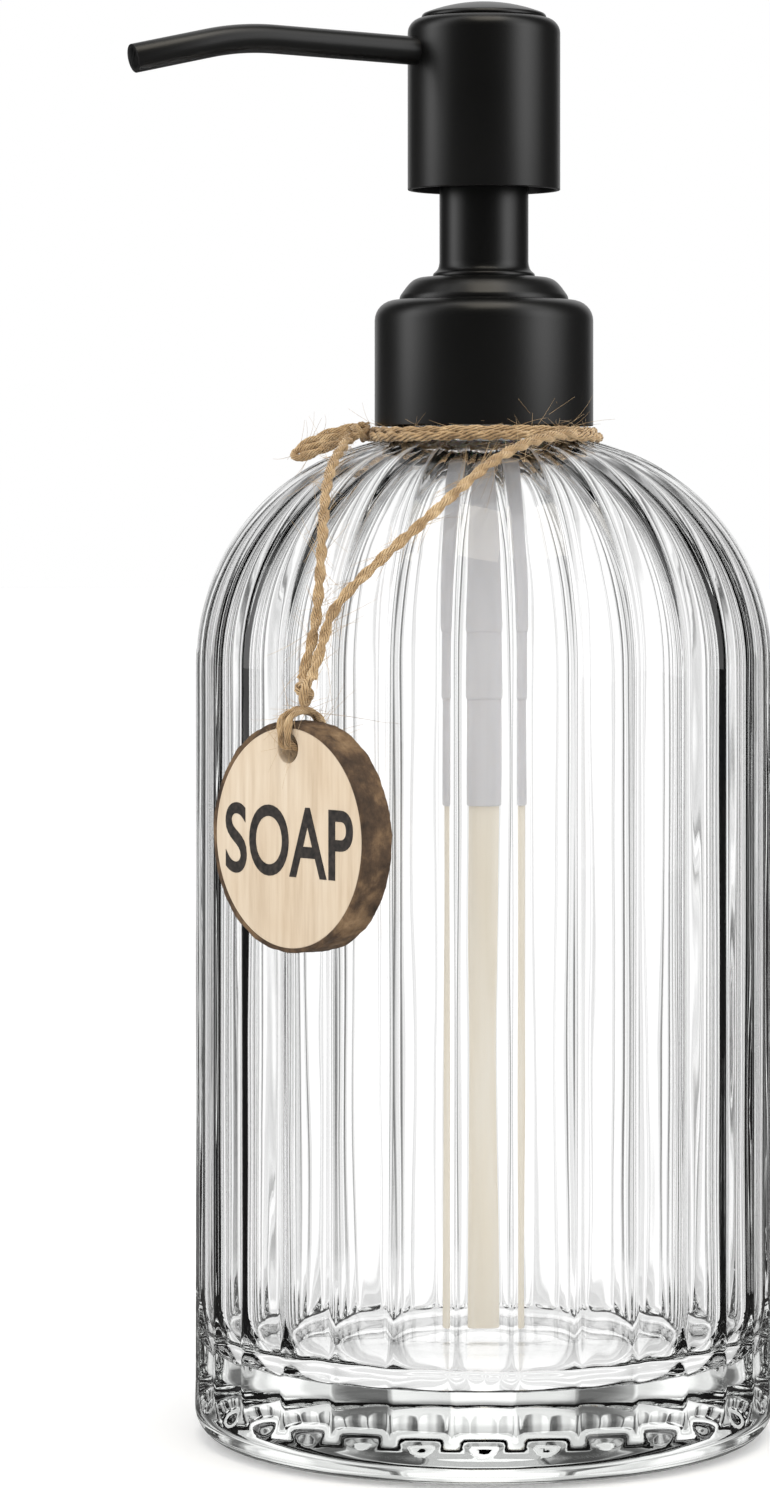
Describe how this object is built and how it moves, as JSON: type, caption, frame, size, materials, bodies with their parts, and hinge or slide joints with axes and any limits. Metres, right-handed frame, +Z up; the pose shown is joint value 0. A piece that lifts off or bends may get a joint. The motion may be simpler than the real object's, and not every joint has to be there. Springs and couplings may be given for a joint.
{
  "type": "soap pump dispenser",
  "caption": "Refillable soap dispenser: fluted clear glass bottle, screw-on black metal lotion pump with bent spout, and a wooden tag on jute twine.",
  "frame": {"origin": "centre of the bottle's base, on the plane of the ring that it stands on", "axes": "+Z up along the bottle's axis; the spout points along -X at rest; +Y is on the left of a person who looks along -X, +X is the back"},
  "size_m": [0.094, 0.0812, 0.201],
  "materials": {
    "clear_glass": "clear, faint green-grey in the thick parts",
    "black_metal": "satin black coat on steel",
    "black_plastic": "moulded",
    "white_plastic": "translucent, moulded",
    "ivory_plastic": "extruded",
    "seal_plastic": "soft",
    "white_foam": "foam",
    "spring_steel": "drawn wire",
    "valve_glass": "polished ball",
    "jute_twine": "twisted natural fibre",
    "pale_wood": "sanded slice, unfinished",
    "bark": "rough bark"
  },
  "bodies": {
    "bottle": {"glass_bottle": "clear_glass", "neck_twine": "jute_twine", "neck_knot": "jute_twine", "twine_end": "jute_twine", "twine_left": "jute_twine", "twine_right": "jute_twine"},
    "pump_body": {"pump_housing": "white_plastic", "neck_gasket": "white_foam", "dip_tube": "ivory_plastic", "ball_cage": "white_plastic", "stem_guide": "black_plastic", "return_spring": "spring_steel"},
    "closure": {"screw_cap": "black_plastic", "collar_shell": "black_metal", "collar_dome": "black_metal", "guide_sleeve": "black_metal"},
    "piston": {"piston_seal": "seal_plastic"},
    "actuator": {"piston_stem": "white_plastic", "outlet_ball_stop": "seal_plastic", "head_core": "black_plastic", "head_shell": "black_metal", "head_crown": "black_metal", "spout_tube": "black_metal"},
    "inlet_valve": {"inlet_ball": "valve_glass"},
    "outlet_valve": {"outlet_ball": "valve_glass"},
    "tag_hanger": {"tag_knot": "jute_twine"},
    "tag": {"wooden_tag": "pale_wood", "tag_bark": "bark", "tag_loop": "jute_twine"}
  },
  "joints": [
    {"name": "pump_lift", "type": "slide", "parent": "bottle", "child": "pump_body", "axis": [0, 0, 1], "range_m": [0, 0.0065]},
    {"name": "collar_turn", "type": "hinge", "parent": "pump_body", "child": "closure", "pos_m": [0, 0, 0.148], "axis": [0, 0, 1], "range_deg": [0, 540]},
    {"name": "pump_press", "type": "slide", "parent": "pump_body", "child": "piston", "axis": [0, 0, -1], "range_m": [0, 0.011], "stiffness_N_per_m": 800, "springref_m": -0.004, "deforming": ["return_spring"]},
    {"name": "spout_swivel", "type": "hinge", "parent": "piston", "child": "actuator", "pos_m": [0, 0, 0.19], "axis": [0, 0, 1], "continuous": true},
    {"name": "outlet_ball_lift", "type": "slide", "parent": "actuator", "child": "outlet_valve", "axis": [0, 0, 1], "range_m": [0, 0.0012]},
    {"name": "inlet_ball_lift", "type": "slide", "parent": "pump_body", "child": "inlet_valve", "axis": [0, 0, 1], "range_m": [0, 0.0015]},
    {"name": "tag_swing", "type": "hinge", "parent": "bottle", "child": "tag_hanger", "pos_m": [-0.03818, -0.02389, 0.1053], "axis": [-0.9537, -0.3007, 0], "range_deg": [-15, 15]},
    {"name": "tag_lift", "type": "hinge", "parent": "tag_hanger", "child": "tag", "pos_m": [-0.03818, -0.02389, 0.1053], "axis": [-0.3007, 0.9537, 0], "range_deg": [0, 60]}
  ],
  "couplings": [
    {"joint": "pump_lift", "follows": "collar_turn", "m_per_rad": 0.0006737}
  ]
}
